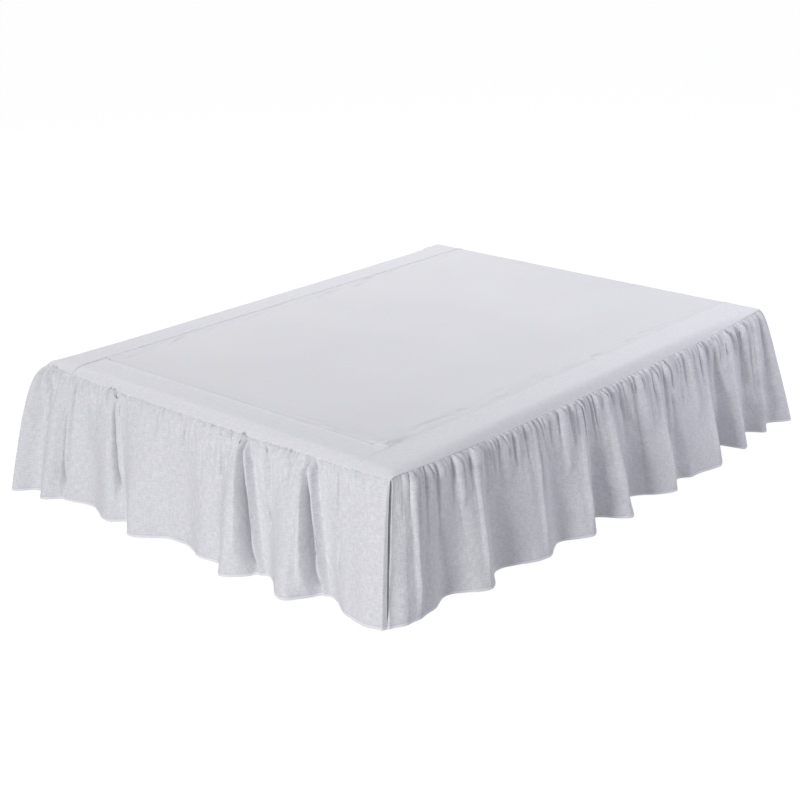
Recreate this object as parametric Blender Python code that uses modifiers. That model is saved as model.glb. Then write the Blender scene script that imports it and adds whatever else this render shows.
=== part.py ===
"""Queen bed skirt, fitted over a plain box spring on six legs.

Metres, +Z up, origin on the floor under the middle of the object. The foot of the bed looks
along -Y and the open head along +Y. A gathered ruffle hangs at the foot and along each side.
"""

from collections import namedtuple
from math import cos, hypot, pi, sin, sqrt

import bmesh
import bpy

# Bed
BED_WIDTH = 1.524
BED_LENGTH = 2.032
BED_FORWARD = 0.020
LEG_HEIGHT = 0.190
LEG_RADIUS = 0.028
LEG_INSET_SIDE = 0.160
LEG_INSET_END = 0.180
LEG_SIDES = 16
BOX_HEIGHT = 0.254
BOX_EDGE_RADIUS = 0.024
BOX_CORNER_RADIUS = 0.015
BOX_ROUND_STEPS = 3

# Cloth
CLOTH = 0.0015
LAY_GAP = 0.0003
WALL_CLEARANCE = 0.004
SEAM_GAP = 0.0009
STRIP_WIDTH = 0.130
ROLL_WIDTH = 0.020
ROLL_STEPS = 3
HEM_FLOOR_GAP = 0.006
COLUMN_PITCH = 0.026
HEADING = 0.018
RUFFLE_LEVELS = (0.0, HEADING, 0.06, 0.16, 0.32, 0.53, 0.76, 1.0)

# Places worked out from the sizes above
BOX_TOP = LEG_HEIGHT + LAY_GAP + BOX_HEIGHT
DECK_TOP = BOX_TOP + LAY_GAP + CLOTH
SIDE = BED_WIDTH / 2
END = BED_LENGTH / 2
STRIP_IN_SIDE = SIDE - STRIP_WIDTH
STRIP_IN_END = END - STRIP_WIDTH

# A fold's crest or trough: its place along the seam, its place along the hem, how far the hem
# stands out from the wall there, and the power of its flare, where under 1 puffs near the seam.
# The side ruffles start with a lap, which turns in behind the foot ruffle at the slit.
Fold = namedtuple("Fold", "seam hem out flare")

FOOT_FOLDS = (
    Fold(-0.760, -0.829, 0.145, 0.36),
    Fold(-0.705, -0.752, 0.087, 0.45),
    Fold(-0.632, -0.690, 0.127, 0.55),
    Fold(-0.606, -0.636, 0.080, 0.55),
    Fold(-0.520, -0.515, 0.052, 0.50),
    Fold(-0.412, -0.380, 0.094, 0.50),
    Fold(-0.390, -0.322, 0.060, 0.65),
    Fold(-0.265, -0.243, 0.123, 0.70),
    Fold(-0.130, -0.112, 0.055, 0.50),
    Fold(-0.055, -0.045, 0.049, 0.45),
    Fold(0.035, 0.055, 0.080, 0.60),
    Fold(0.100, 0.120, 0.071, 0.60),
    Fold(0.194, 0.190, 0.128, 0.60),
    Fold(0.216, 0.302, 0.035, 0.60),
    Fold(0.450, 0.435, 0.118, 0.60),
    Fold(0.478, 0.532, 0.010, 0.60),
    Fold(0.610, 0.660, 0.066, 0.70),
    Fold(0.690, 0.730, 0.081, 0.65),
    Fold(0.756, 0.782, 0.068, 0.65),
    Fold(0.760, 0.786, 0.052, 0.75),
)

RIGHT_FOLDS = (
    Fold(-1.011, -1.078, -0.050, 0.32),
    Fold(-1.006, -1.062, 0.028, 1.00),
    Fold(-0.975, -1.006, 0.052, 0.70),
    Fold(-0.945, -0.960, 0.057, 0.70),
    Fold(-0.885, -0.910, 0.054, 0.70),
    Fold(-0.848, -0.810, 0.024, 0.60),
    Fold(-0.682, -0.692, 0.096, 0.80),
    Fold(-0.644, -0.586, 0.038, 0.60),
    Fold(-0.392, -0.415, 0.101, 0.80),
    Fold(-0.352, -0.315, 0.064, 0.70),
    Fold(-0.165, -0.203, 0.120, 0.85),
    Fold(-0.128, -0.095, 0.046, 0.60),
    Fold(-0.022, -0.010, 0.136, 0.90),
    Fold(0.020, 0.112, 0.040, 0.60),
    Fold(0.265, 0.263, 0.137, 0.85),
    Fold(0.305, 0.350, 0.082, 0.70),
    Fold(0.385, 0.410, 0.112, 0.75),
    Fold(0.565, 0.545, 0.138, 0.90),
    Fold(0.612, 0.710, 0.036, 0.60),
    Fold(0.740, 0.737, 0.128, 0.90),
    Fold(0.782, 0.882, 0.045, 0.60),
    Fold(0.925, 0.936, 0.101, 0.90),
    Fold(0.962, 1.012, 0.062, 0.70),
    Fold(1.012, 1.105, 0.115, 0.70),
)

LEFT_FOLDS = (
    Fold(-1.008, -1.054, -0.078, 1.20),
    Fold(-1.002, -1.040, 0.028, 1.00),
    Fold(-0.978, -1.004, 0.058, 0.70),
    Fold(-0.925, -0.935, 0.104, 0.75),
    Fold(-0.885, -0.838, 0.046, 0.60),
    Fold(-0.735, -0.742, 0.122, 0.80),
    Fold(-0.690, -0.598, 0.040, 0.60),
    Fold(-0.500, -0.482, 0.090, 0.75),
    Fold(-0.455, -0.398, 0.060, 0.60),
    Fold(-0.290, -0.280, 0.137, 0.85),
    Fold(-0.250, -0.152, 0.036, 0.60),
    Fold(-0.070, -0.052, 0.112, 0.80),
    Fold(-0.020, 0.050, 0.050, 0.60),
    Fold(0.180, 0.196, 0.131, 0.85),
    Fold(0.225, 0.318, 0.042, 0.60),
    Fold(0.395, 0.408, 0.095, 0.75),
    Fold(0.440, 0.490, 0.070, 0.65),
    Fold(0.600, 0.622, 0.137, 0.85),
    Fold(0.650, 0.742, 0.034, 0.60),
    Fold(0.815, 0.840, 0.118, 0.80),
    Fold(0.860, 0.940, 0.052, 0.60),
    Fold(0.965, 1.020, 0.098, 0.75),
    Fold(1.012, 1.115, 0.070, 0.70),
)

# How far the seam or hem lies under the deck along an edge: at its start, middle and end
EdgeDrop = namedtuple("EdgeDrop", "start middle end")
SIDE_SEAM = EdgeDrop(0.006, 0.027, 0.005)
FOOT_SEAM = EdgeDrop(0.012, 0.023, 0.009)
HEAD_HEM = EdgeDrop(0.008, 0.012, 0.008)

LINEN = (0.74, 0.74, 0.77)
PLAIN_CLOTH = (0.78, 0.78, 0.80)
TICKING = (0.62, 0.60, 0.57)
LEG_WOOD = (0.08, 0.07, 0.06)


def material(name, colour, roughness):
    made = bpy.data.materials.new(name)
    made.use_nodes = True
    shader = made.node_tree.nodes["Principled BSDF"]
    shader.inputs["Base Color"].default_value = (*colour, 1.0)
    shader.inputs["Roughness"].default_value = roughness
    shader.inputs["Metallic"].default_value = 0.0
    return made


def clear_scene():
    for old in list(bpy.data.objects):
        bpy.data.objects.remove(old, do_unlink=True)


def add_object(name, bm, look, group):
    """Makes a node from a mesh given in bed coordinates, and moves it to its place on the floor."""
    mesh = bpy.data.meshes.new(name)
    bm.to_mesh(mesh)
    bm.free()
    mesh.shade_smooth()
    mesh.materials.append(look)
    node = bpy.data.objects.new(name, mesh)
    node.location.y = BED_FORWARD
    group.objects.link(node)
    return node


def smooth(part):
    """0 to 1 with level ends."""
    return (1 - cos(pi * part)) / 2


def between(start, stop, part):
    return start + (stop - start) * part


def edge_drop(drop, along, reach):
    """Depth of an edge's seam at a place along it, which runs from -reach to reach."""
    end = drop.start if along < 0 else drop.end
    return between(drop.middle, end, abs(along / reach) ** 3)


def roll_share(place, reach):
    """Share of the edge's drop at a place: none on the flat, all of it at the edge."""
    past = min(max(abs(place) - (reach - ROLL_WIDTH), 0.0) / ROLL_WIDTH, 1.0)
    return 1 - sqrt(1 - past**2)


def cloth_height(x, y):
    """Middle of the cloth on top of the bed, which is flat and rolls down at the four edges."""
    side_part = edge_drop(SIDE_SEAM, y, END) * roll_share(x, SIDE)
    end_part = edge_drop(FOOT_SEAM if y < 0 else HEAD_HEM, x, SIDE) * roll_share(y, END)
    return DECK_TOP - CLOTH / 2 - hypot(side_part, end_part)


def sheet(name, columns, rows, point, look, group):
    """A cloth sheet: a flat grid whose points are moved to point(column, row), then thickened."""
    bm = bmesh.new()
    bmesh.ops.create_grid(bm, x_segments=columns, y_segments=rows, size=1.0)
    for vert in bm.verts:
        column = round((vert.co.x + 1) / 2 * columns)
        row = round((vert.co.y + 1) / 2 * rows)
        vert.co = point(column, row)
    node = add_object(name, bm, look, group)
    thicken = node.modifiers.new("Cloth thickness", "SOLIDIFY")
    thicken.thickness = CLOTH
    thicken.offset = 0.0
    node.modifiers.new("Shading by face area", "WEIGHTED_NORMAL")
    return node


def flat_stations(start, stop, steps):
    return [between(start, stop, step / steps) for step in range(steps + 1)]


def rolled_stations(start, edge, flat_steps):
    """Places from start to the edge of the bed: even on the flat, then closer round the roll."""
    outward = 1 if edge > start else -1
    flat_end = edge - outward * ROLL_WIDTH
    turns = [pi / 2 * step / ROLL_STEPS for step in range(1, ROLL_STEPS + 1)]
    roll = [flat_end + outward * ROLL_WIDTH * sin(turn) for turn in turns]
    return flat_stations(start, flat_end, flat_steps) + roll


def top_sheet(name, across, along, look, group):
    def point(column, row):
        x, y = across[column], along[row]
        return (x, y, cloth_height(x, y))

    return sheet(name, len(across) - 1, len(along) - 1, point, look, group)


def fold_columns(folds):
    """The folds' table made dense: one row for each column of the ruffle's grid."""
    columns = []
    for first, second in zip(folds, folds[1:]):
        reach = abs(second.hem - first.hem) + abs(second.out - first.out)
        steps = max(2, round(reach / COLUMN_PITCH))
        for step in range(steps):
            part = step / steps
            columns.append(
                Fold(
                    between(first.seam, second.seam, part),
                    between(first.hem, second.hem, part),
                    between(first.out, second.out, smooth(part)),
                    between(first.flare, second.flare, part),
                )
            )
    return [*columns, folds[-1]]


def ruffle(name, folds, edge_point, outward, look, group):
    """A gathered drop. edge_point(along) is on the bed's edge, and outward points off the bed."""
    columns = fold_columns(folds)
    levels = RUFFLE_LEVELS[::-1]

    def point(column, row):
        fold = columns[column]
        level = levels[row]
        seam_height = cloth_height(*edge_point(fold.seam)) - SEAM_GAP
        out = fold.out * max(0.0, (level - HEADING) / (1 - HEADING)) ** fold.flare
        x, y = edge_point(between(fold.seam, fold.hem, level))
        height = between(seam_height, HEM_FLOOR_GAP, level)
        return (x + out * outward[0], y + out * outward[1], height)

    return sheet(name, len(columns) - 1, len(levels) - 1, point, look, group)


def box_spring(look, group):
    bm = bmesh.new()
    bmesh.ops.create_cube(bm, size=1.0)
    size = (BED_WIDTH - 2 * WALL_CLEARANCE, BED_LENGTH - 2 * WALL_CLEARANCE, BOX_HEIGHT)
    bmesh.ops.scale(bm, vec=size, verts=bm.verts)
    bmesh.ops.translate(bm, vec=(0, 0, BOX_TOP - BOX_HEIGHT / 2), verts=bm.verts)
    for upright, radius in ((True, BOX_CORNER_RADIUS), (False, BOX_EDGE_RADIUS)):
        edges = []
        for edge in bm.edges:
            low, high = sorted(vert.co.z for vert in edge.verts)
            if upright and high - low > BOX_HEIGHT / 2:
                edges.append(edge)
            if not upright and low > BOX_TOP - BOX_HEIGHT / 4:
                edges.append(edge)
        bmesh.ops.bevel(
            bm,
            geom=edges,
            offset=radius,
            segments=BOX_ROUND_STEPS,
            profile=0.5,
            affect="EDGES",
        )
    return add_object("box_spring", bm, look, group)


def legs(look, group):
    columns = {"left": LEG_INSET_SIDE - SIDE, "right": SIDE - LEG_INSET_SIDE}
    rows = {"foot": LEG_INSET_END - END, "mid": 0.0, "head": END - LEG_INSET_END}
    for row_name, y in rows.items():
        for column_name, x in columns.items():
            bm = bmesh.new()
            bmesh.ops.create_cone(
                bm,
                cap_ends=True,
                segments=LEG_SIDES,
                radius1=LEG_RADIUS,
                radius2=LEG_RADIUS,
                depth=LEG_HEIGHT,
            )
            bmesh.ops.translate(bm, vec=(x, y, LEG_HEIGHT / 2), verts=bm.verts)
            leg = add_object(f"leg_{row_name}_{column_name}", bm, look, group)
            leg.data.set_sharp_from_angle(angle=pi / 6)


def top_cloth(plain, linen, group):
    inner = STRIP_IN_SIDE - LAY_GAP
    deck_along = rolled_stations(LAY_GAP - STRIP_IN_END, END, 8)
    top_sheet("deck", flat_stations(-inner, inner, 6), deck_along, plain, group)

    to_foot = rolled_stations(0.0, -END, 8)
    to_head = rolled_stations(0.0, END, 8)
    strip_along = to_foot[::-1] + to_head[1:]
    right_across = rolled_stations(STRIP_IN_SIDE, SIDE, 1)
    left_across = rolled_stations(-STRIP_IN_SIDE, -SIDE, 1)[::-1]
    top_sheet("right_strip", right_across, strip_along, linen, group)
    top_sheet("left_strip", left_across, strip_along, linen, group)

    foot_along = rolled_stations(-STRIP_IN_END, -END, 1)[::-1]
    top_sheet("foot_strip", flat_stations(-inner, inner, 14), foot_along, linen, group)


def ruffles(linen, group):
    ruffle("foot_ruffle", FOOT_FOLDS, lambda along: (along, -END), (0, -1), linen, group)
    ruffle("right_ruffle", RIGHT_FOLDS, lambda along: (SIDE, along), (1, 0), linen, group)
    ruffle("left_ruffle", LEFT_FOLDS, lambda along: (-SIDE, along), (-1, 0), linen, group)


def main():
    clear_scene()
    group = bpy.data.collections.new("Bed skirt")
    bpy.context.scene.collection.children.link(group)
    linen = material("White linen", LINEN, 0.92)
    plain = material("White plain cloth", PLAIN_CLOTH, 0.88)
    ticking = material("Box spring ticking", TICKING, 0.85)
    wood = material("Stained leg wood", LEG_WOOD, 0.50)

    legs(wood, group)
    box_spring(ticking, group)
    top_cloth(plain, linen, group)
    ruffles(linen, group)


main()
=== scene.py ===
"""Looks of a white linen bed skirt, gathered at the foot and along both sides, on a plain box spring.

Metres, +Z up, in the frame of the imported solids. The foot looks along -Y and the open head along +Y.
"""

import random
from collections import namedtuple
from math import cos, pi, radians, sin

import bmesh
import bpy
import numpy as np
from mathutils import Matrix, Vector


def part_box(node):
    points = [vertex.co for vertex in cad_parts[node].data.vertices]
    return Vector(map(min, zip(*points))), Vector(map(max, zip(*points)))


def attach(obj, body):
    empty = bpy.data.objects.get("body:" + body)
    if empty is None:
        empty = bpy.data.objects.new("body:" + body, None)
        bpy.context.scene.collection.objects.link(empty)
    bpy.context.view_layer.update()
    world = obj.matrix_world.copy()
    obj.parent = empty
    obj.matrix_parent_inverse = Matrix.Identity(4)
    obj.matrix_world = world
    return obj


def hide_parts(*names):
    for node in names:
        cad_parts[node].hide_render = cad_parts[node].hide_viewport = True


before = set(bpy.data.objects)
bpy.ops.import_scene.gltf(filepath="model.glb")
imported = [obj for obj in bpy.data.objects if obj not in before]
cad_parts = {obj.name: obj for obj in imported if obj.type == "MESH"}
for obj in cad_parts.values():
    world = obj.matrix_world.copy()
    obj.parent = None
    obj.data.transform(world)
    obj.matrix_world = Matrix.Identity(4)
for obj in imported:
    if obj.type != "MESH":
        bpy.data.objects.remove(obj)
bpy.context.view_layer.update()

scene = bpy.context.scene

# Camera
# It stands off the near corner of the bed with a long lens, a little above the deck.
# It sees the deck, the foot ruffle and the right ruffle.
EYE = (3.2613, -3.7905, 2.0360)
EYE_TURN = radians(41.3926)
EYE_DOWN = radians(20.1522)
EYE_ROLL = radians(-0.6736)
LENS_MM = 67.8626
SENSOR_MM = 36.0

camera = bpy.data.objects.new("Camera", bpy.data.cameras.new("Camera"))
camera.data.lens = LENS_MM
camera.data.sensor_width = SENSOR_MM
camera.matrix_world = (
    Matrix.Translation(EYE)
    @ Matrix.Rotation(EYE_TURN, 4, "Z")
    @ Matrix.Rotation(pi / 2 - EYE_DOWN, 4, "X")
    @ Matrix.Rotation(EYE_ROLL, 4, "Z")
)
scene.collection.objects.link(camera)
scene.camera = camera
scene.view_settings.view_transform = "Standard"

# Studio
# A white floor that runs out of view and even light from all round. A low key light faces the
# foot, a weaker one stands high off the right side towards the head, and a broad one hangs over
# the left side and the head.
FLOOR_SIZE = 90.0
FLOOR_GLOW = 0.955
FLOOR_COLOUR = (0.10, 0.10, 0.10, 1.0)
ROOM_COLOUR = (0.955, 0.960, 1.040, 1.0)
ROOM_GLOW = 0.37
BED_MIDDLE = Vector((0.0, 0.0, 0.40))


def soft_light(name, towards, distance, width, strength, colour):
    """A square light off the bed's middle, whose strength is the light that reaches the middle."""
    lamp = bpy.data.lights.new(name, "AREA")
    lamp.size = width
    lamp.energy = strength * pi * pi * distance**2
    lamp.color = colour
    holder = bpy.data.objects.new(name, lamp)
    away = Vector(towards).normalized()
    holder.location = BED_MIDDLE + away * distance
    holder.rotation_euler = away.to_track_quat("Z", "Y").to_euler()
    scene.collection.objects.link(holder)


soft_light("Key light", (0.22, -0.97, 0.12), 6.5, 1.6, 0.41, (1.0, 1.0, 0.99))
soft_light("Side light", (0.72, 0.50, 0.56), 3.4, 1.4, 0.24, (0.97, 0.98, 1.05))
soft_light("Overhead light", (-0.78, 0.36, 1.00), 5.0, 3.0, 0.54, (1.0, 0.998, 0.990))

room = bpy.data.worlds.new("Room")
room.use_nodes = True
room.node_tree.nodes["Background"].inputs["Color"].default_value = ROOM_COLOUR
room.node_tree.nodes["Background"].inputs["Strength"].default_value = ROOM_GLOW
scene.world = room

bm = bmesh.new()
bmesh.ops.create_grid(bm, x_segments=1, y_segments=1, size=FLOOR_SIZE / 2)
floor = bpy.data.objects.new("Floor", bpy.data.meshes.new("Floor"))
bm.to_mesh(floor.data)
bm.free()
scene.collection.objects.link(floor)
paint = bpy.data.materials.new("Floor paint")
paint.use_nodes = True
shader = paint.node_tree.nodes["Principled BSDF"]
shader.inputs["Base Color"].default_value = FLOOR_COLOUR
shader.inputs["Roughness"].default_value = 1.0
shader.inputs["Specular IOR Level"].default_value = 0.0
shader.inputs["Emission Color"].default_value = (1.0, 1.0, 1.0, 1.0)
shader.inputs["Emission Strength"].default_value = FLOOR_GLOW
floor.data.materials.append(paint)
floor.visible_diffuse = False

# Legs
# Six short turned pegs of hardwood with a dark stain, screwed up into the base's frame.
# The grain runs up each peg, and the stain is worn lighter at the floor.
LEG_DARK = (0.020, 0.015, 0.011, 1.0)
LEG_LIGHT = (0.105, 0.070, 0.045, 1.0)


class Wire:
    """A socket of a material. Sums, differences and products with it add Math nodes."""

    def __init__(self, socket):
        self.socket = socket

    def node(self, kind, settings, values, output=0):
        """Adds a node beside this wire's own, and gives the wire of one of its outputs."""
        tree = self.socket.id_data
        made = tree.nodes.new(kind)
        for name, setting in settings.items():
            setattr(made, name, setting)
        for name, value in values.items():
            if isinstance(value, Wire):
                tree.links.new(value.socket, made.inputs[name])
            else:
                made.inputs[name].default_value = value
        return Wire(made.outputs[output])

    def math(self, operation, first, second=0.0):
        return self.node("ShaderNodeMath", {"operation": operation}, {0: first, 1: second})

    def __add__(self, other):
        return self.math("ADD", self, other)

    def __sub__(self, other):
        return self.math("SUBTRACT", self, other)

    def __rsub__(self, other):
        return self.math("SUBTRACT", other, self)

    def __mul__(self, other):
        return self.math("MULTIPLY", self, other)

    __radd__ = __add__

    def sine(self):
        return self.math("SINE", self)

    def rise(self, start, stop):
        """0 before start and 1 after stop, with a smooth rise between them."""
        ends = {"Value": self, "From Min": start, "From Max": stop}
        return self.node("ShaderNodeMapRange", {"interpolation_type": "SMOOTHSTEP"}, ends)

    def mix(self, low, high):
        """The colour between two by this wire, which runs from 0 to 1."""
        return self.node("ShaderNodeMix", {"data_type": "RGBA"}, {0: self, 6: low, 7: high}, 2)

    def noise(self, across, down, further, detail):
        """Random values around 0.5 at a place given by three wires or numbers."""
        place = self.node("ShaderNodeCombineXYZ", {}, {0: across, 1: down, 2: further})
        values = {"Vector": place, "Scale": 1.0, "Detail": detail}
        return self.node("ShaderNodeTexNoise", {}, values)

    def feed(self, shader, name):
        """Links this wire to a socket of the material's own shader."""
        self.socket.id_data.links.new(self.socket, shader.inputs[name])


def new_look(name, roughness, sheen):
    """A material of a given roughness and sheen, and its shader."""
    made = bpy.data.materials.new(name)
    made.use_nodes = True
    shader = made.node_tree.nodes["Principled BSDF"]
    shader.inputs["Roughness"].default_value = roughness
    shader.inputs["Specular IOR Level"].default_value = 0.25
    shader.inputs["Sheen Weight"].default_value = sheen
    shader.inputs["Sheen Roughness"].default_value = 0.6
    return made, shader


def three_ways(wire):
    """The three parts of a vector wire."""
    parts = wire.node("ShaderNodeSeparateXYZ", {}, {0: wire}).socket.node.outputs
    return [Wire(part) for part in parts]


leg_wood, shader = new_look("Dark stained leg wood", 0.42, 0.0)
points = leg_wood.node_tree.nodes.new("ShaderNodeTexCoord").outputs["Object"]
x, y, z = three_ways(Wire(points))
ring = x.noise(x * 60, y * 60, z * 4, 3.0)
pore = x.noise(x * 900, y * 900, z * 25, 2.0).rise(0.52, 0.66)
wear = (1 - z.rise(0.0, 0.02)) * x.noise(x * 150, y * 150, z * 150, 2.0)
grain = (ring * 1.6 - 0.35 + wear * 0.5 - pore * 0.25).rise(0.0, 1.0)
grain.mix(LEG_DARK, LEG_LIGHT).feed(shader, "Base Color")
(0.34 + ring * 0.16 + pore * 0.2).feed(shader, "Roughness")
pore.node("ShaderNodeBump", {"invert": True}, {"Height": pore, "Distance": 0.0002}, "Normal").feed(
    shader, "Normal"
)
for name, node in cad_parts.items():
    if name.startswith("leg_"):
        node.data.materials.clear()
        node.data.materials.append(leg_wood)

# Box spring
# A wood frame padded and covered with ticking, closed along its lower edge by a sewn tape.
# Only its head end and underside can be seen, through the open head and under the hems.
TICKING_LIGHT = (0.74, 0.73, 0.71, 1.0)
TICKING_DARK = (0.56, 0.55, 0.54, 1.0)
STRIPE_PITCH = 0.024
BOX_ROUND = 0.060
TAPE_RADIUS = 0.005

low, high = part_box("box_spring")
box_size = high - low
box_middle = (low + high) / 2
bm = bmesh.new()
bmesh.ops.create_cube(bm, size=1.0)
bmesh.ops.scale(bm, vec=box_size, verts=bm.verts)
bmesh.ops.bevel(bm, geom=bm.edges[:], offset=BOX_ROUND, segments=6, profile=0.5, affect="EDGES")
bmesh.ops.translate(bm, vec=box_middle, verts=bm.verts)
box_mesh = bpy.data.meshes.new("Box spring")
bm.to_mesh(box_mesh)
bm.free()
box_mesh.shade_smooth()
box_spring = bpy.data.objects.new("Box_spring", box_mesh)
scene.collection.objects.link(box_spring)

ticking, shader = new_look("Woven ticking", 0.85, 0.1)
points = ticking.node_tree.nodes.new("ShaderNodeTexCoord").outputs["Object"]
x, y, z = three_ways(Wire(points))
stripe = ((x + y) * (2 * pi / STRIPE_PITCH)).sine().rise(0.86, 0.92)
twill = ((x + y) * 2600 + z * 2600).sine() * 0.5 + 0.5
tint = x.noise(x * 9, y * 9, z * 9, 3.0)
(stripe * 0.55 + twill * 0.12 + tint * 0.3).rise(0.0, 1.0).mix(TICKING_LIGHT, TICKING_DARK).feed(
    shader, "Base Color"
)
twill.node("ShaderNodeBump", {}, {"Height": twill, "Distance": 0.0002}, "Normal").feed(
    shader, "Normal"
)
box_mesh.materials.append(ticking)


def tape_loop(name, height, look):
    """A round tape sewn along the box spring's edge, at one height."""
    inset = TAPE_RADIUS + 0.0005
    corner = BOX_ROUND
    reach = (box_size.x / 2 - inset, box_size.y / 2 - inset)
    curve = bpy.data.curves.new(name, "CURVE")
    curve.dimensions = "3D"
    curve.bevel_depth = TAPE_RADIUS
    curve.bevel_resolution = 3
    line = curve.splines.new("POLY")
    turns = [(1, -1, -pi / 2), (1, 1, 0.0), (-1, 1, pi / 2), (-1, -1, pi)]
    corners = []
    for side, end, start in turns:
        for step in range(7):
            turn = start + pi / 2 * step / 6
            across = side * (reach[0] - corner) + corner * cos(turn)
            along = end * (reach[1] - corner) + corner * sin(turn)
            corners.append((box_middle.x + across, box_middle.y + along, height))
    line.points.add(len(corners) - 1)
    for point, place in zip(line.points, corners):
        point.co = (*place, 1.0)
    line.use_cyclic_u = True
    tape = bpy.data.objects.new(name, curve)
    curve.materials.append(look)
    scene.collection.objects.link(tape)
    return tape


tape = tape_loop("Box_spring_tape", low.z + BOX_ROUND, ticking)
for piece in (box_spring, tape):
    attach(piece, "root")
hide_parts("box_spring")

# Deck
# One length of smooth plain-woven cloth that covers the middle of the bed, cut off and narrowly
# hemmed at the head. It is sewn under the three linen strips, and drags a little beside that seam.
CLOTH = 0.0015
LAY_GAP = 0.0003
ROLL_WIDTH = 0.040
DECK_CLOTH = 0.0011
DECK_EDGE = 0.080
DECK_EDGE_STEP = 0.0025
DECK_ROLL_ROWS = 10
DECK_LIGHT = (0.800, 0.800, 0.815, 1.0)
DECK_SHADE = (0.755, 0.755, 0.772, 1.0)

strip_low, strip_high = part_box("right_strip")
BED_FORWARD = (strip_low.y + strip_high.y) / 2
SIDE = strip_high.x - CLOTH / 2
END = (strip_high.y - strip_low.y) / 2 - CLOTH / 2
DECK_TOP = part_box("deck")[1].z
STRIP_IN_SIDE = strip_low.x
STRIP_IN_END = END - (SIDE - STRIP_IN_SIDE)

# How far the seam or hem lies under the deck along an edge: at its start, middle and end
EdgeDrop = namedtuple("EdgeDrop", "start middle end")
SIDE_SEAM = EdgeDrop(0.006, 0.027, 0.005)
FOOT_SEAM = EdgeDrop(0.012, 0.023, 0.009)
HEAD_HEM = EdgeDrop(0.008, 0.012, 0.008)


def between(start, stop, part):
    return start + (stop - start) * part


def smooth(part):
    """0 to 1 with level ends, and no change outside them."""
    part = np.clip(part, 0.0, 1.0)
    return part * part * (3 - 2 * part)


def edge_drop(drop, along, reach):
    """Depth of an edge's seam at places along it, which run from -reach to reach."""
    end = np.where(along < 0, drop.start, drop.end)
    return between(drop.middle, end, np.abs(along / reach) ** 3)


def roll_share(place, reach):
    """Share of the edge's drop at a place: none on the flat, all of it at the edge."""
    return np.clip((np.abs(place) - (reach - ROLL_WIDTH)) / ROLL_WIDTH, 0.0, 1.0) ** 2


def cloth_height(x, y):
    """Middle of the cloth on top of the bed, which is flat and rolls down at the four edges."""
    side_part = edge_drop(SIDE_SEAM, y, END) * roll_share(x, SIDE)
    end_drop = np.where(y < 0, edge_drop(FOOT_SEAM, x, SIDE), edge_drop(HEAD_HEM, x, SIDE))
    return DECK_TOP - CLOTH / 2 - np.hypot(side_part, end_drop * roll_share(y, END))


def unevenness(across, down, size, seed):
    """Smooth random heights from -1 to 1 over the cloth, with its bumps about a size apart."""
    count = 256
    heights = np.random.default_rng(seed).uniform(-1, 1, (count, count))
    column, row = np.broadcast_arrays(across / size, down / size)
    left, top = np.floor(column).astype(int), np.floor(row).astype(int)
    right_share, low_share = smooth(column - left), smooth(row - top)
    left, right, top, below = left % count, (left + 1) % count, top % count, (top + 1) % count
    upper = between(heights[top, left], heights[top, right], right_share)
    lower = between(heights[below, left], heights[below, right], right_share)
    return between(upper, lower, low_share)


def rolled_stations(start, edge, flat_steps, roll_steps):
    """Places from start to the edge of the bed: even on the flat, then closer round the roll."""
    outward = 1 if edge > start else -1
    flat_end = edge - outward * ROLL_WIDTH
    turns = pi / 2 * np.arange(1, roll_steps + 1) / roll_steps
    roll = flat_end + outward * ROLL_WIDTH * np.sin(turns)
    return np.concatenate([np.linspace(start, flat_end, flat_steps + 1), roll])


def dense_ends(start, stop, middle_step):
    """Places from start to stop, close together beside both ends."""
    ends = np.arange(0.0, DECK_EDGE, DECK_EDGE_STEP)
    steps = round((stop - start - 2 * DECK_EDGE) / middle_step)
    middle = np.linspace(start + DECK_EDGE, stop - DECK_EDGE, steps + 1)
    return np.concatenate([start + ends, middle, (stop - ends)[::-1]])


def cloth_piece(name, points, cut, thickness, look):
    """A thin cloth piece from rows of points in bed coordinates. Its UV map holds the cut cloth in metres."""
    rows, columns = points.shape[0] - 1, points.shape[1] - 1
    bm = bmesh.new()
    bmesh.ops.create_grid(bm, x_segments=columns, y_segments=rows, size=1.0)
    mesh = bpy.data.meshes.new(name)
    bm.to_mesh(mesh)
    bm.free()
    placed = points + np.array((0.0, BED_FORWARD, 0.0))
    mesh.vertices.foreach_set("co", placed.astype(np.float32).ravel())
    corners = np.empty(len(mesh.loops), np.int32)
    mesh.loops.foreach_get("vertex_index", corners)
    layer = mesh.uv_layers.new(name="Cut cloth")
    layer.uv.foreach_set("vector", cut.reshape(-1, 2)[corners].astype(np.float32).ravel())
    mesh.shade_smooth()
    mesh.materials.append(look)
    piece = bpy.data.objects.new(name, mesh)
    scene.collection.objects.link(piece)
    thicken = piece.modifiers.new("Cloth thickness", "SOLIDIFY")
    thicken.thickness = thickness
    thicken.offset = 0.0
    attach(piece, "root")
    return piece


def plain_weave(across, down, pitch):
    """Threads over and under each other, from -1 to 1."""
    return (across * (2 * pi / pitch)).sine() * (down * (2 * pi / pitch)).sine()


def drag_lines(along, inward, reach, count, seed):
    """Slack wrinkles that lie at a slant beside a seam, each of its own length and height."""
    draw = random.Random(seed)
    relief = np.zeros(np.broadcast(along, inward).shape)
    low, high = float(along.min()), float(along.max())
    for _ in range(count):
        near = along - draw.triangular(low, high, high)
        length = draw.uniform(0.025, 0.075)
        width = draw.uniform(0.0035, 0.0065)
        line = inward - reach * draw.uniform(0.12, 1.0) - draw.uniform(0.05, 0.40) * near
        tall = draw.uniform(0.3, 1.0)
        relief += tall * np.exp(-((near / length) ** 2) - (line / width) ** 2)
    return relief


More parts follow.
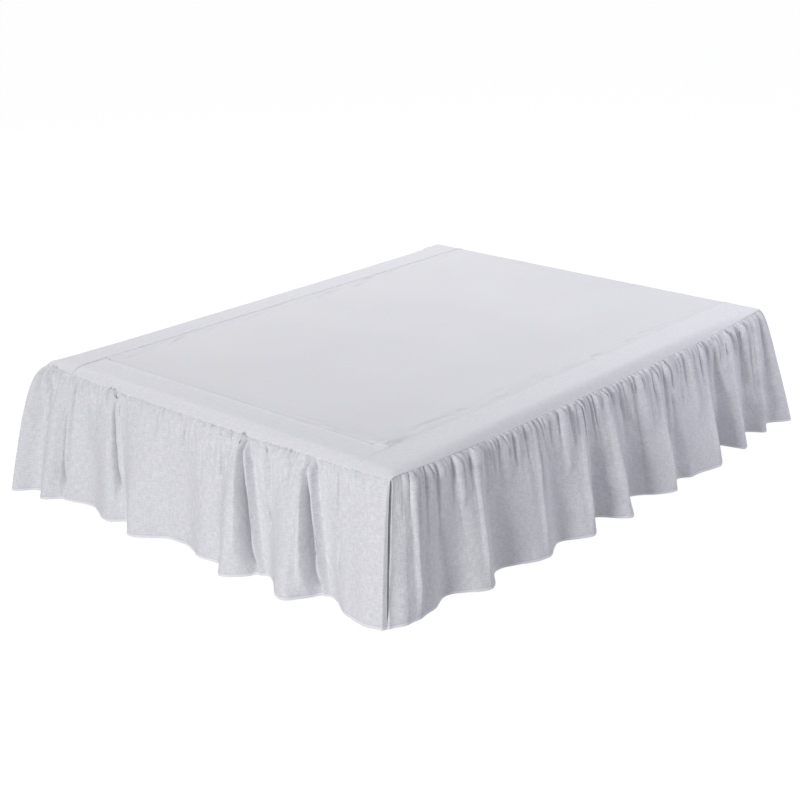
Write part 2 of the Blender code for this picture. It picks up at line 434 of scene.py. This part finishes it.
plain_cloth, shader = new_look("Smooth plain cloth", 0.86, 0.15)
cut_cloth = plain_cloth.node_tree.nodes.new("ShaderNodeUVMap")
cut_cloth.uv_map = "Cut cloth"
across, down, _ = three_ways(Wire(cut_cloth.outputs["UV"]))
cloud = across.noise(across * 3, down * 3, 1.0, 2.0)
streak = across.noise(across * 260, down * 22, 2.0, 2.0)
weft = across.noise(across * 22, down * 260, 3.0, 2.0)
tone = (cloud * 0.5 + streak * 0.28 + weft * 0.28).rise(0.28, 0.78)
tone.mix(DECK_SHADE, DECK_LIGHT).feed(shader, "Base Color")
threads = plain_weave(across, down, 0.0011)
height = threads * 0.00006 + (streak + weft) * 0.00035 + cloud * 0.004
values = {"Height": height, "Distance": 1.0, "Strength": 0.6}
across.node("ShaderNodeBump", {}, values, "Normal").feed(shader, "Normal")

x = dense_ends(LAY_GAP - STRIP_IN_SIDE, STRIP_IN_SIDE - LAY_GAP, 0.030)[None, :]
along = dense_ends(LAY_GAP - STRIP_IN_END, END - ROLL_WIDTH, 0.009)
y = np.concatenate([along, rolled_stations(0.0, END, 1, DECK_ROLL_ROWS)[2:]])[:, None]
from_foot = y + STRIP_IN_END - LAY_GAP
from_head = END - y
relief = 0.0009 * (unevenness(x, y, 0.30, 11) + 0.5 * unevenness(x, y, 0.11, 12))
seams = 0.0
for side in (-1, 1):
    from_side = STRIP_IN_SIDE - LAY_GAP - side * x
    seams = seams + 0.0036 * drag_lines(-y, from_side, 0.060, 90, 13 + side) * smooth(from_side / 0.012)
seams += 0.0016 * drag_lines(x, from_foot, 0.050, 50, 16) * smooth(from_foot / 0.012)
seams += 0.0022 * drag_lines(x, from_head, 0.080, 26, 17) * smooth(from_head / 0.030)
relief = relief * smooth((STRIP_IN_SIDE - np.abs(x)) / 0.030) * smooth(from_foot / 0.030)
relief = (relief + seams) * (1 - roll_share(y, END))
x, y = np.broadcast_arrays(x, y)
deck_points = np.stack([x, y, cloth_height(x, y) + relief], axis=-1)
deck = cloth_piece("Deck", deck_points, np.stack([x, y], axis=-1), DECK_CLOTH, plain_cloth)
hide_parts("deck")

# Strips
# Three linen bands 13 cm wide, lapped over the deck's raw edges and topstitched, at the foot and
# along both sides. The side bands run through at the corners. Each is turned down over the box
# spring's edge, and its own edge is folded over the head of the ruffle.
LINEN_CLOTH = 0.0012
STRIP_CUT = 0.160
STRIP_PITCH = 0.0048
STRIP_COLUMNS = 12
STRIP_ROLL_COLUMNS = 16
LAP = 0.004
LAP_RISE = 0.0013
LAP_EASE = 0.009
PRESSED_LIGHT = (0.850, 0.850, 0.875, 1.0)
PRESSED_SHADE = (0.755, 0.755, 0.780, 1.0)
HEM_LIGHT = (0.860, 0.860, 0.885, 1.0)
# Painted shade: the darker colour of the thin line along the hem's stitches, standing in for the shade in the
# stitches' dent.
HEM_STITCH_PAINTED_SHADE = (0.560, 0.560, 0.600, 1.0)
HEM_LINE = 0.0095
STITCH_PITCH = 0.0042
STITCH_LENGTH = 0.0032
THREAD_RADIUS = 0.00032
THREAD_WHITE = (0.84, 0.84, 0.86, 1.0)
THREAD_GREY = (0.70, 0.70, 0.73, 1.0)

# The folded edge over the ruffle's head: how far it stands out of the seam, and how far under it
Lip = namedtuple("Lip", "out down")
LIP = (Lip(0.0016, 0.0003), Lip(0.0026, 0.0012), Lip(0.0029, 0.0026), Lip(0.0022, 0.0040))


def linen_look(name, shade, light, crinkling, hem):
    """Matt linen with slubs both ways, an uneven plain weave, a crinkle, and a lighter doubled hem below,
    with painted shade along its line of stitches.
    """
    made, shader = new_look(name, 0.90, 0.20)
    cut_cloth = made.node_tree.nodes.new("ShaderNodeUVMap")
    cut_cloth.uv_map = "Cut cloth"
    across, down, _ = three_ways(Wire(cut_cloth.outputs["UV"]))
    weft = across.noise(across * 55, down * 330, 0.0, 3.0)
    warp = across.noise(across * 330, down * 40, 5.0, 3.0)
    slub = across.noise(across * 30, down * 700, 9.0, 1.0).rise(0.58, 0.74)
    blotch = across.noise(across * 70, down * 70, 13.0, 3.0)
    tone = (weft * 0.50 + warp * 0.42 + blotch * 0.22 + slub * 0.10).rise(0.40, 0.76)
    doubled = down.rise(hem - 0.0008, hem + 0.0008)
    # Painted shade along the hem's line of stitches, where the dent of the stitches would shade the cloth.
    stitch_line_shade = doubled * (1 - down.rise(hem + 0.0008, hem + 0.0024))
    hemmed = doubled.mix(tone.mix(shade, light), HEM_LIGHT)
    stitch_line_shade.mix(hemmed, HEM_STITCH_PAINTED_SHADE).feed(shader, "Base Color")
    threads = plain_weave(across, down, 0.0013)
    crinkle = across.noise(across * 90, down * 90, 21.0, 4.0)
    height = threads * 0.00010 + slub * 0.0003 + (weft + warp + crinkle * 3) * crinkling
    values = {"Height": height, "Distance": 1.0, "Strength": 0.55}
    across.node("ShaderNodeBump", {}, values, "Normal").feed(shader, "Normal")
    return made


linen = linen_look("Pressed white linen", PRESSED_SHADE, PRESSED_LIGHT, 0.0004, 1.0)

thread_look, shader = new_look("White sewing thread", 0.62, 0.10)
points = thread_look.node_tree.nodes.new("ShaderNodeTexCoord").outputs["Object"]
x, y, z = three_ways(Wire(points))
twist = ((x + y + z) * 5200).sine() * 0.5 + 0.5
twist.mix(THREAD_GREY, THREAD_WHITE).feed(shader, "Base Color")
values = {"Height": twist, "Distance": 0.0001}
twist.node("ShaderNodeBump", {}, values, "Normal").feed(shader, "Normal")


def stitch_line(name, line, facing):
    """A row of stitches on the cloth's outer face. line is the cloth's middle, and facing points out."""
    line = line + facing * LINEN_CLOTH / 2 + np.array((0.0, BED_FORWARD, 0.0))
    run = np.concatenate([[0.0], np.cumsum(np.linalg.norm(np.diff(line, axis=0), axis=1))])
    starts = np.arange(STITCH_PITCH, run[-1] - STITCH_PITCH, STITCH_PITCH)
    curve = bpy.data.curves.new(name, "CURVE")
    curve.dimensions = "3D"
    curve.bevel_depth = THREAD_RADIUS
    curve.bevel_resolution = 0
    curve.use_fill_caps = True
    parts = []
    for part, lift in ((0.0, -0.0001), (0.5, 0.00028), (1.0, -0.0001)):
        at = starts + part * STITCH_LENGTH
        lifted = line + facing * lift
        parts.append(np.stack([np.interp(at, run, lifted[:, k]) for k in range(3)], axis=-1))
    for stitch in np.stack(parts, axis=1):
        thread = curve.splines.new("POLY")
        thread.points.add(len(stitch) - 1)
        for point, place in zip(thread.points, stitch):
            point.co = (*place, 1.0)
    row = bpy.data.objects.new(name, curve)
    curve.materials.append(thread_look)
    scene.collection.objects.link(row)
    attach(row, "root")
    return row


def pucker_rows(along, inward, reach, pitch, seed):
    """Small ridges across a seam, each of its own width and length, from 0 to 1."""
    draw = random.Random(seed)
    relief = np.zeros(np.broadcast(along, inward).shape)
    place = float(along.min())
    while place < along.max():
        width = pitch * draw.uniform(0.5, 1.6)
        length = reach * draw.uniform(0.3, 1.3)
        lean = draw.uniform(-0.35, 0.35)
        height = draw.uniform(0.2, 1.0)
        part = (along - place - lean * inward) / width
        ridge = np.clip(1 - np.abs(2 * part - 1), 0, None)
        relief = np.maximum(relief, height * smooth(ridge) * (1 - smooth(inward / length)))
        place += width
    return relief


def strip_relief(along, inward, outward, seed):
    """The lap over the deck's edge, puckers at both seams, and gentle waves between them."""
    relief = LAP_RISE * (1 - smooth(inward / LAP_EASE))
    relief = relief + 0.0006 * unevenness(along, inward, 0.12, seed) * smooth(inward / 0.030)
    past = np.clip(inward - LAP_EASE / 2, 0.0, None)
    relief = relief + 0.0011 * pucker_rows(along, past, 0.022, 0.013, seed + 1) * smooth(past / 0.006)
    return relief + 0.0004 * pucker_rows(along, np.clip(outward, 0, None), 0.016, 0.017, seed + 2)


def roll_direction(x, y):
    """Outward direction of the cloth on top of the bed."""
    step = 0.0005
    slope_x = (cloth_height(x + step, y) - cloth_height(x - step, y)) / (2 * step)
    slope_y = (cloth_height(x, y + step) - cloth_height(x, y - step)) / (2 * step)
    direction = np.stack([-np.clip(slope_x, -8, 8), -np.clip(slope_y, -8, 8), np.ones_like(x)], axis=-1)
    return direction / np.linalg.norm(direction, axis=-1, keepdims=True)


def lip_stations(places):
    """The places, and beyond their last one those of the lip: where each is, how far out and down."""
    count = len(LIP)
    edge = np.concatenate([places, np.full(count, places[-1])])
    out, down = np.zeros(len(edge)), np.zeros(len(edge))
    out[-count:] = [lip.out for lip in LIP]
    down[-count:] = [lip.down for lip in LIP]
    return edge, out, down


def strip_points(x, y, relief, out_x, out_y, down):
    """Points of a strip, with its lip let out and down."""
    points = np.stack([x, y, cloth_height(x, y)], axis=-1) + roll_direction(x, y) * relief[..., None]
    return points + np.stack(np.broadcast_arrays(out_x, out_y, -down), axis=-1)


lap_stations = np.array((-LAP, -LAP / 4, LAP / 2))
flat_start = LAP_EASE * 0.6


def side_strip(name, node, side, seed):
    """The band along one side, from head to foot. side is 1 on the right and -1 on the left."""
    rows = round(END / STRIP_PITCH)
    to_head = rolled_stations(0.0, END, rows, STRIP_ROLL_COLUMNS)
    to_foot, foot_out, foot_down = lip_stations(rolled_stations(0.0, -END, rows, STRIP_ROLL_COLUMNS))
    still = np.zeros(len(to_head) - 1)
    y = np.concatenate([to_foot[::-1], to_head[1:]])[:, None]
    foot_out = np.concatenate([foot_out[::-1], still])[:, None]
    foot_down = np.concatenate([foot_down[::-1], still])[:, None]
    flat = rolled_stations(STRIP_IN_SIDE + flat_start, SIDE, STRIP_COLUMNS, STRIP_ROLL_COLUMNS)
    across, side_out, side_down = lip_stations(np.concatenate([STRIP_IN_SIDE + lap_stations, flat]))
    x, y = np.broadcast_arrays(side * across[None, :], y)
    inward = np.abs(x) - STRIP_IN_SIDE
    over_corner = 1 + np.exp(-(((y + STRIP_IN_END) / 0.012) ** 2)) * (1 - smooth(inward / LAP_EASE))
    relief = strip_relief(y, inward, SIDE - np.abs(x), seed) * over_corner
    drop = np.hypot(side_down[None, :], foot_down)
    points = strip_points(x, y, relief, side * side_out[None, :], -foot_out, drop)
    run = inward + side_down[None, :]
    piece = cloth_piece(name, points, np.stack([y - foot_down, run], axis=-1), LINEN_CLOTH, linen)
    seam = points[:, 1]
    stitches = stitch_line(name + "_stitches", seam, np.tile((0.0, 0.0, 1.0), (len(seam), 1)))
    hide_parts(node)
    flat = (STRIP_CUT, 2 * END + 0.03)


side_strip("Right_strip", "right_strip", 1, 31)
side_strip("Left_strip", "left_strip", -1, 41)

columns = round(2 * STRIP_IN_SIDE / STRIP_PITCH)
x = np.linspace(LAY_GAP - STRIP_IN_SIDE, STRIP_IN_SIDE - LAY_GAP, columns + 1)[None, :]
flat = rolled_stations(-STRIP_IN_END - flat_start, -END, STRIP_COLUMNS, STRIP_ROLL_COLUMNS)
y, foot_out, foot_down = lip_stations(np.concatenate([-STRIP_IN_END - lap_stations, flat]))
x, y = np.broadcast_arrays(x, y[::-1, None])
foot_out, foot_down = foot_out[::-1, None], foot_down[::-1, None]
inward = -STRIP_IN_END - y
points = strip_points(x, y, strip_relief(x, inward, END + y, 51), 0.0, -foot_out, foot_down)
cut = np.stack([x, inward + foot_down], axis=-1)
foot_strip = cloth_piece("Foot_strip", points, cut, LINEN_CLOTH, linen)
seam = points[-2]
stitches = stitch_line("Foot_strip_stitches", seam, np.tile((0.0, 0.0, 1.0), (len(seam), 1)))
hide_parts("foot_strip")
flat = (2 * STRIP_IN_SIDE, STRIP_CUT)

# Ruffles
# Three lengths of linen, gathered along the top and sewn under the strips, one at the foot and
# one down each side, with a slit at each foot corner. Each hangs to just above the floor, where
# a narrow double-turned hem is stitched.
SEAM_GAP = 0.0009
HEADING = 0.018
HEM_FLOOR_GAP = 0.006
WALL_GAP = 0.004
SIDE_HEM = 0.008
TOP_ROWS = 16
TOP_REACH = 0.080
BODY_ROWS = 28
HEM_STEP = 0.0022
HEM_REACH = 0.0154

# A fold's crest or trough: its place along the seam, its place along the hem, how far the hem
# stands out from the wall there, and the power of its flare, where under 1 puffs near the seam.
# The side ruffles start with a lap, which turns in behind the foot ruffle at the slit. The foot
# ruffle's right end turns back there.
Fold = namedtuple("Fold", "seam hem out flare")

FOOT_FOLDS = (
    Fold(-0.760, -0.829, 0.145, 0.36),
    Fold(-0.705, -0.752, 0.087, 0.45),
    Fold(-0.632, -0.690, 0.127, 0.55),
    Fold(-0.606, -0.636, 0.080, 0.55),
    Fold(-0.520, -0.515, 0.052, 0.50),
    Fold(-0.412, -0.380, 0.094, 0.50),
    Fold(-0.390, -0.322, 0.060, 0.65),
    Fold(-0.265, -0.243, 0.123, 0.70),
    Fold(-0.130, -0.112, 0.055, 0.50),
    Fold(-0.055, -0.045, 0.049, 0.45),
    Fold(0.035, 0.055, 0.080, 0.60),
    Fold(0.100, 0.120, 0.071, 0.60),
    Fold(0.194, 0.190, 0.128, 0.60),
    Fold(0.216, 0.302, 0.035, 0.60),
    Fold(0.450, 0.435, 0.118, 0.60),
    Fold(0.478, 0.532, 0.010, 0.60),
    Fold(0.610, 0.660, 0.066, 0.70),
    Fold(0.690, 0.730, 0.081, 0.65),
    Fold(0.756, 0.782, 0.068, 0.65),
    Fold(0.760, 0.786, 0.052, 0.75),
)

RIGHT_FOLDS = (
    Fold(-1.011, -1.078, -0.050, 0.32),
    Fold(-1.006, -1.062, 0.028, 1.00),
    Fold(-0.975, -1.006, 0.052, 0.70),
    Fold(-0.945, -0.960, 0.057, 0.70),
    Fold(-0.885, -0.910, 0.054, 0.70),
    Fold(-0.848, -0.810, 0.024, 0.60),
    Fold(-0.682, -0.692, 0.096, 0.80),
    Fold(-0.644, -0.586, 0.038, 0.60),
    Fold(-0.392, -0.415, 0.101, 0.80),
    Fold(-0.352, -0.315, 0.064, 0.70),
    Fold(-0.165, -0.203, 0.120, 0.85),
    Fold(-0.128, -0.095, 0.046, 0.60),
    Fold(-0.022, -0.010, 0.136, 0.90),
    Fold(0.020, 0.112, 0.040, 0.60),
    Fold(0.265, 0.263, 0.137, 0.85),
    Fold(0.305, 0.350, 0.082, 0.70),
    Fold(0.385, 0.410, 0.112, 0.75),
    Fold(0.565, 0.545, 0.138, 0.90),
    Fold(0.612, 0.710, 0.036, 0.60),
    Fold(0.740, 0.737, 0.128, 0.90),
    Fold(0.782, 0.882, 0.045, 0.60),
    Fold(0.925, 0.936, 0.101, 0.90),
    Fold(0.962, 1.012, 0.062, 0.70),
    Fold(1.012, 1.105, 0.115, 0.70),
)

LEFT_FOLDS = (
    Fold(-1.008, -1.054, -0.078, 1.20),
    Fold(-1.002, -1.040, 0.028, 1.00),
    Fold(-0.978, -1.004, 0.058, 0.70),
    Fold(-0.925, -0.935, 0.104, 0.75),
    Fold(-0.885, -0.838, 0.046, 0.60),
    Fold(-0.735, -0.742, 0.122, 0.80),
    Fold(-0.690, -0.598, 0.040, 0.60),
    Fold(-0.500, -0.482, 0.090, 0.75),
    Fold(-0.455, -0.398, 0.060, 0.60),
    Fold(-0.290, -0.280, 0.137, 0.85),
    Fold(-0.250, -0.152, 0.036, 0.60),
    Fold(-0.070, -0.052, 0.112, 0.80),
    Fold(-0.020, 0.050, 0.050, 0.60),
    Fold(0.180, 0.196, 0.131, 0.85),
    Fold(0.225, 0.318, 0.042, 0.60),
    Fold(0.395, 0.408, 0.095, 0.75),
    Fold(0.440, 0.490, 0.070, 0.65),
    Fold(0.600, 0.622, 0.137, 0.85),
    Fold(0.650, 0.742, 0.034, 0.60),
    Fold(0.815, 0.840, 0.118, 0.80),
    Fold(0.860, 0.940, 0.052, 0.60),
    Fold(0.965, 1.020, 0.098, 0.75),
    Fold(1.012, 1.115, 0.070, 0.70),
)

# How strong the small and the large gathers are at a place along the seam
Gather = namedtuple("Gather", "seam small large")

FOOT_GATHERS = (
    Gather(-0.760, 0.9, 0.8),
    Gather(-0.450, 1.0, 0.7),
    Gather(-0.200, 0.8, 0.4),
    Gather(-0.020, 0.6, 0.5),
    Gather(0.060, 1.0, 0.9),
    Gather(0.200, 1.0, 0.9),
    Gather(0.300, 0.9, 0.7),
    Gather(0.500, 0.8, 0.4),
    Gather(0.600, 0.5, 0.2),
    Gather(0.756, 0.3, 0.1),
)

SIDE_GATHERS = (
    Gather(-1.012, 0.0, 0.0),
    Gather(-0.980, 0.3, 0.1),
    Gather(-0.940, 0.9, 0.6),
    Gather(-0.860, 1.0, 1.0),
    Gather(1.012, 1.0, 1.0),
)

# Gathers' mean width, height and reach down from the seam
Gathering = namedtuple("Gathering", "pitch height reach")
FOOT_SMALL = Gathering(0.018, 0.0150, 0.075)
FOOT_LARGE = Gathering(0.045, 0.0085, 0.210)
SIDE_SMALL = Gathering(0.021, 0.0110, 0.110)
SIDE_LARGE = Gathering(0.048, 0.0130, 0.300)
SMALL_SWELL = 0.007
LARGE_SWELL = 0.030

# How far a gather's crest leans towards the foot or the left: 1 is a level arch, less leans more
CREST_LEAN = 0.68

# A crease or ridge: its place along the seam, how far under the seam it starts and stops, how far
# it drifts along the bed for each metre down, its height (under 0 in a crease) and its half width
# at its start and stop.
Crease = namedtuple("Crease", "seam start stop drift height narrow wide")

FOOT_CREASES = (
    Crease(-0.604, 0.010, 0.430, 0.00, -0.040, 0.005, 0.011),
    Crease(-0.590, 0.010, 0.400, 0.00, 0.014, 0.004, 0.010),
    Crease(-0.398, 0.012, 0.360, 0.00, -0.040, 0.005, 0.009),
    Crease(-0.387, 0.012, 0.320, 0.00, 0.012, 0.004, 0.009),
    Crease(0.203, 0.008, 0.440, 0.02, 0.036, 0.004, 0.017),
    Crease(0.209, 0.008, 0.440, 0.00, -0.070, 0.004, 0.010),
    Crease(0.216, 0.008, 0.440, -0.06, 0.028, 0.004, 0.010),
    Crease(0.463, 0.008, 0.440, 0.02, 0.036, 0.004, 0.017),
    Crease(0.470, 0.006, 0.440, 0.00, -0.075, 0.004, 0.011),
    Crease(0.478, 0.006, 0.440, -0.03, 0.030, 0.004, 0.010),
    Crease(0.292, 0.010, 0.260, 0.00, -0.050, 0.006, 0.009),
    Crease(0.303, 0.010, 0.220, 0.00, 0.018, 0.004, 0.008),
    Crease(0.400, 0.020, 0.100, -0.05, -0.016, 0.004, 0.006),
    Crease(0.522, 0.006, 0.120, -0.10, -0.018, 0.004, 0.006),
    Crease(0.575, 0.015, 0.320, -0.08, -0.012, 0.005, 0.010),
    Crease(-0.290, 0.000, 0.070, -0.15, -0.014, 0.004, 0.005),
    Crease(-0.185, 0.012, 0.090, -0.05, -0.014, 0.004, 0.005),
    Crease(-0.055, 0.000, 0.130, -0.15, -0.014, 0.004, 0.007),
    Crease(-0.700, 0.010, 0.220, 0.05, -0.014, 0.004, 0.007),
    Crease(0.010, 0.020, 0.200, 0.10, -0.007, 0.005, 0.012),
    Crease(0.100, 0.010, 0.180, 0.05, -0.014, 0.004, 0.008),
    Crease(0.150, 0.010, 0.130, 0.00, -0.014, 0.004, 0.007),
)

RIGHT_CREASES = (
    Crease(-0.760, 0.010, 0.160, 0.05, 0.010, 0.006, 0.012),
    Crease(-0.540, 0.010, 0.180, 0.00, 0.009, 0.006, 0.012),
    Crease(-0.250, 0.010, 0.230, 0.00, 0.010, 0.006, 0.012),
    Crease(0.100, 0.010, 0.160, 0.05, 0.008, 0.006, 0.012),
    Crease(0.170, 0.010, 0.220, 0.00, 0.009, 0.006, 0.012),
    Crease(0.325, 0.015, 0.170, 0.20, 0.007, 0.007, 0.010),
    Crease(0.420, 0.015, 0.170, -0.30, 0.007, 0.007, 0.010),
    Crease(0.480, 0.010, 0.260, 0.00, 0.009, 0.006, 0.012),
    Crease(0.660, 0.010, 0.230, 0.05, 0.009, 0.006, 0.012),
    Crease(0.840, 0.010, 0.230, 0.05, 0.009, 0.006, 0.012),
)

LEFT_CREASES = (
    Crease(-0.600, 0.010, 0.180, 0.05, 0.009, 0.006, 0.012),
    Crease(-0.380, 0.010, 0.150, 0.00, 0.009, 0.006, 0.012),
    Crease(0.060, 0.010, 0.220, -0.05, 0.010, 0.006, 0.012),
    Crease(0.500, 0.010, 0.160, 0.00, 0.009, 0.006, 0.012),
    Crease(0.700, 0.010, 0.200, 0.00, 0.009, 0.006, 0.012),
)


def crest_ridges(folds, height, seed):
    """A narrow ridge down each fold's crest, where the cloth is drawn up most at the seam."""
    draw = random.Random(seed)
    ridges = []
    for before, fold, after in zip(folds, folds[1:], folds[2:]):
        if fold.out > max(before.out, after.out):
            tall = height * draw.uniform(0.7, 1.2)
            ridges.append(Crease(fold.seam, 0.004, 0.440, 0.0, tall, 0.006, 0.011))
    return ridges


def fold_columns(folds, count):
    """Columns an even step of cloth apart: how far each is across the cut cloth, and its fold's values."""
    table = np.array(folds)
    fine = np.linspace(0, len(folds) - 1, 80 * (len(folds) - 1) + 1)
    first = np.minimum(fine.astype(int), len(folds) - 2)
    part = fine - first
    swell = (1 - np.cos(pi * part)) / 2
    shares = Fold(part, part, swell, part)
    dense = [between(table[first, k], table[first + 1, k], share) for k, share in enumerate(shares)]
    hem, out = dense[1], dense[2]
    across = np.concatenate([[0.0], np.cumsum(np.hypot(np.diff(hem), np.diff(out)))])
    even = np.linspace(0, across[-1], count + 1)
    return even, Fold(*(np.interp(even, across, values) for values in dense))


def arches(seam, down, size, swell, seed):
    """Gathers side by side under the seam. Each bulges between two pinches and fades at its own reach."""
    draw = random.Random(seed)
    relief = np.zeros((len(down), len(seam)))
    place = seam[0]
    while place < seam[-1]:
        width = size.pitch * draw.uniform(0.55, 1.6)
        tall = size.height * draw.uniform(0.45, 1.3)
        long = size.reach * draw.uniform(0.45, 1.8)
        lean = draw.uniform(-0.10, 0.10)
        part = np.clip((seam[None, :] - place - lean * down) / width, 0.0, 1.0) ** CREST_LEAN
        arch = 1 - np.abs(2 * part - 1) ** 2
        relief += tall * arch * smooth(down / swell) * (1 - smooth(down / long))
        place += width
    return relief


def crease_relief(creases, folds, place, down):
    """Height of the creases, which are steep-sided, and of the soft ridges, over the hung cloth."""
    relief = np.zeros(place.shape)
    for crease in creases:
        hem = np.interp(crease.seam, folds.seam, folds.hem)
        share = np.clip(down / down.max(), 0.0, 1.0)
        middle = between(crease.seam, hem, share) + crease.drift * (down - crease.start)
        length = crease.stop - crease.start
        part = np.clip((down - crease.start) / length, 0.0, 1.0)
        width = between(crease.narrow, crease.wide, part)
        ends = smooth((down - crease.start) / 0.035) * smooth((1 - part) / 0.30)
        squareness = 2 if crease.height > 0 else 4
        relief += crease.height * ends * np.exp(-np.abs((place - middle) / width) ** squareness)
    return relief


def hem_rows(drop):
    """Distances under the seam, close together in the gathers and in the hem."""
    top = TOP_REACH * (np.arange(TOP_ROWS) / TOP_ROWS) ** 1.35
    body = np.linspace(TOP_REACH, drop - HEM_REACH, BODY_ROWS + 1)
    hem = np.linspace(drop - HEM_REACH, drop, round(HEM_REACH / HEM_STEP) + 1)
    return np.concatenate([top, body, hem[1:]])


def hem_relief(distance, width):
    """A hem's doubled cloth at a distance from the edge, and the dent of its stitches."""
    doubled = 0.0004 * (1 - smooth((distance - width) / 0.002))
    return doubled - 0.0005 * np.exp(-(((distance - width + 0.001) / 0.0016) ** 2))


DROP = DECK_TOP - 0.02 - HEM_FLOOR_GAP
LINEN_LIGHT = (0.850, 0.850, 0.880, 1.0)
LINEN_SHADE = (0.675, 0.675, 0.706, 1.0)
hanging_linen = linen_look("Hanging white linen", LINEN_SHADE, LINEN_LIGHT, 0.0010, DROP - HEM_LINE)


def ruffle(name, node, folds, sizes, gathers, creases, edge_point, outward, count, seed):
    """A gathered drop. edge_point(along) is on the bed's edge, and outward points off the bed."""
    across, hung = fold_columns(folds, count)
    down = hem_rows(DROP)[:, None]
    level = down / DROP
    share = np.clip((level - HEADING) / (1 - HEADING), 0.0, None)
    place = between(hung.seam[None, :], hung.hem[None, :], level)
    out = hung.out[None, :] * share ** hung.flare[None, :]
    pleats = crease_relief(creases, hung, place, down)
    out = np.where(pleats < 0, np.maximum(out + pleats, np.minimum(out, WALL_GAP)), out + pleats)
    seam_height = cloth_height(*edge_point(hung.seam))[None, :] - SEAM_GAP
    height = between(seam_height, HEM_FLOOR_GAP, level)
    x, y = edge_point(place)
    points = np.stack([x + out * outward[0], y + out * outward[1], height], axis=-1)
    facing = np.cross(np.gradient(points, axis=1), np.gradient(points, axis=0))
    facing /= np.linalg.norm(facing, axis=-1, keepdims=True)
    if (facing @ np.array((*outward, 0.0))).mean() < 0:
        facing = -facing
    table = Gather(*np.array(gathers).T)
    small, large = sizes
    relief = np.zeros(place.shape)
    for size, shares, swell in ((small, table.small, SMALL_SWELL), (large, table.large, LARGE_SWELL)):
        seed += 1
        relief += arches(hung.seam, down, size, swell, seed) * np.interp(hung.seam, table.seam, shares)
    from_end = np.minimum(across, across[-1] - across)[None, :]
    free = smooth(down / 0.05) * between(0.3, 1.0, smooth(from_end / 0.10))
    relief += 0.0032 * free * unevenness(across[None, :], down, 0.085, seed + 2)
    relief += 0.0014 * free * unevenness(across[None, :], down, 0.030, seed + 3)
    relief += hem_relief(DROP - down, HEM_LINE) + hem_relief(from_end, SIDE_HEM)
    points = points + facing * relief[..., None]
    points[..., 2] = np.maximum(points[..., 2], HEM_FLOOR_GAP)
    steps = np.linalg.norm(np.diff(points[len(points) // 2], axis=0), axis=1)
    run = np.concatenate([[0.0], np.cumsum(steps)])
    cut = np.stack(np.broadcast_arrays(run[None, :], down), axis=-1)
    order = slice(None, None, -1)
    piece = cloth_piece(name, points[order], cut[order], LINEN_CLOTH, hanging_linen)
    row = int(np.argmin(np.abs(down[:, 0] - (DROP - HEM_LINE))))
    stitches = stitch_line(name + "_hem_stitches", points[row], facing[row])
    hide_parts(node)


ruffle(
    "Foot_ruffle", "foot_ruffle", FOOT_FOLDS, (FOOT_SMALL, FOOT_LARGE), FOOT_GATHERS, FOOT_CREASES,
    lambda along: (along, np.full_like(along, -END)), (0, -1), 900, 61,
)
ruffle(
    "Right_ruffle", "right_ruffle", RIGHT_FOLDS, (SIDE_SMALL, SIDE_LARGE), SIDE_GATHERS,
    [*RIGHT_CREASES, *crest_ridges(RIGHT_FOLDS, 0.013, 75)],
    lambda along: (np.full_like(along, SIDE), along), (1, 0), 930, 71,
)
ruffle(
    "Left_ruffle", "left_ruffle", LEFT_FOLDS, (SIDE_SMALL, SIDE_LARGE), SIDE_GATHERS,
    [*LEFT_CREASES, *crest_ridges(LEFT_FOLDS, 0.013, 85)],
    lambda along: (np.full_like(along, -SIDE), along), (-1, 0), 930, 81,
)
